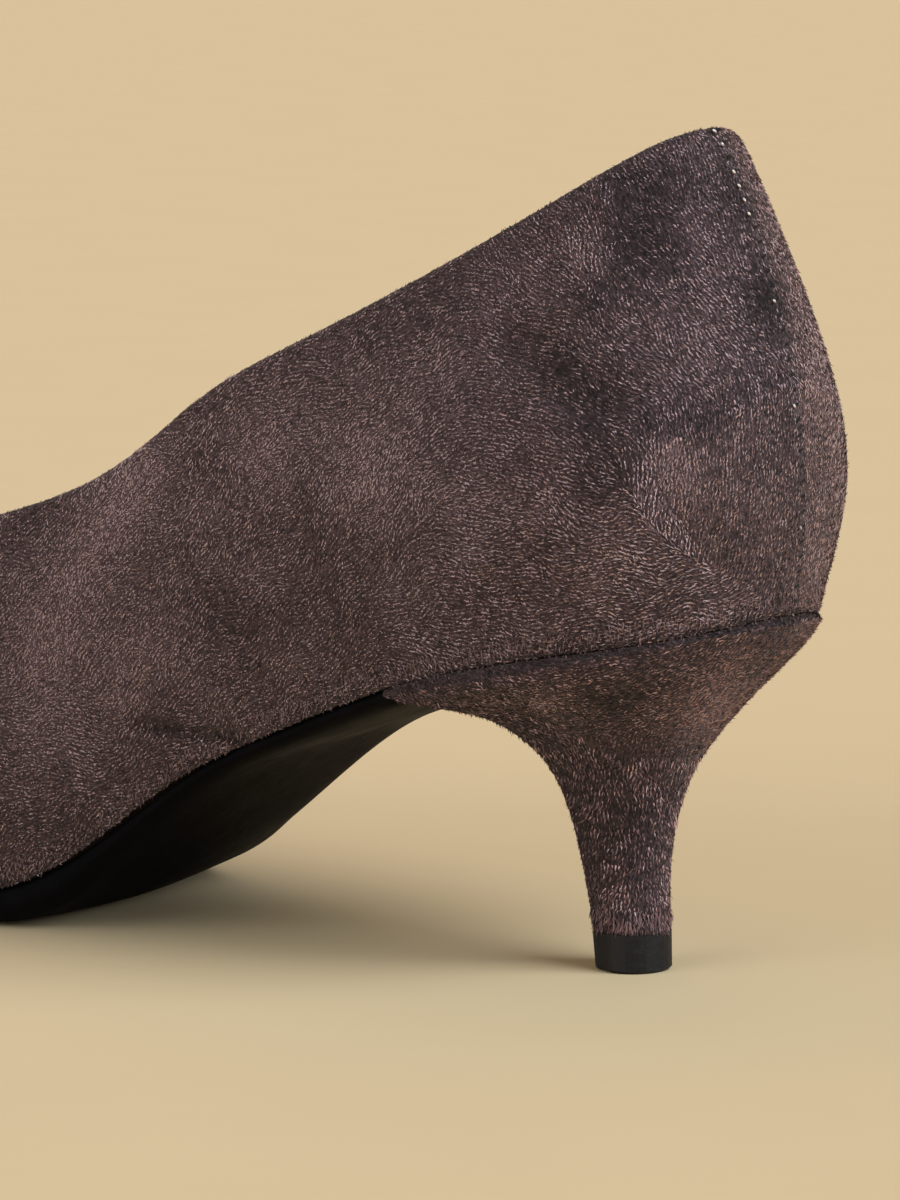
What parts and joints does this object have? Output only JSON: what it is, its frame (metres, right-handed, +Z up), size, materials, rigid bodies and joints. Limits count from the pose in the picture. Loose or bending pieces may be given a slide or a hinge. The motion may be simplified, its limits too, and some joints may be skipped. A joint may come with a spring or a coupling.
{
  "type": "kitten heel pump",
  "caption": "Women's pointed-toe pump, left shoe: hollow suede upper, black rubber outsole, slim covered kitten heel with a rubber top piece, and an insole.",
  "frame": {"origin": "middle of the shoe's own box, on the floor that it stands on", "axes": "+Z up, -X towards the toe, -Y towards the outer (lateral) side of this left shoe"},
  "size_m": [0.2546, 0.0788, 0.1058],
  "materials": {
    "suede": "brushed grey-brown microfibre suede",
    "sole_rubber": "smooth satin black",
    "heel_cover": "the upper's suede, wrapped over a moulded heel",
    "tip_rubber": "matte black",
    "sock_lining": "smooth beige sock"
  },
  "bodies": {
    "root": {"upper": "suede", "outsole": "sole_rubber", "heel": "heel_cover", "top_piece": "tip_rubber", "insole": "sock_lining"}
  },
  "joints": []
}
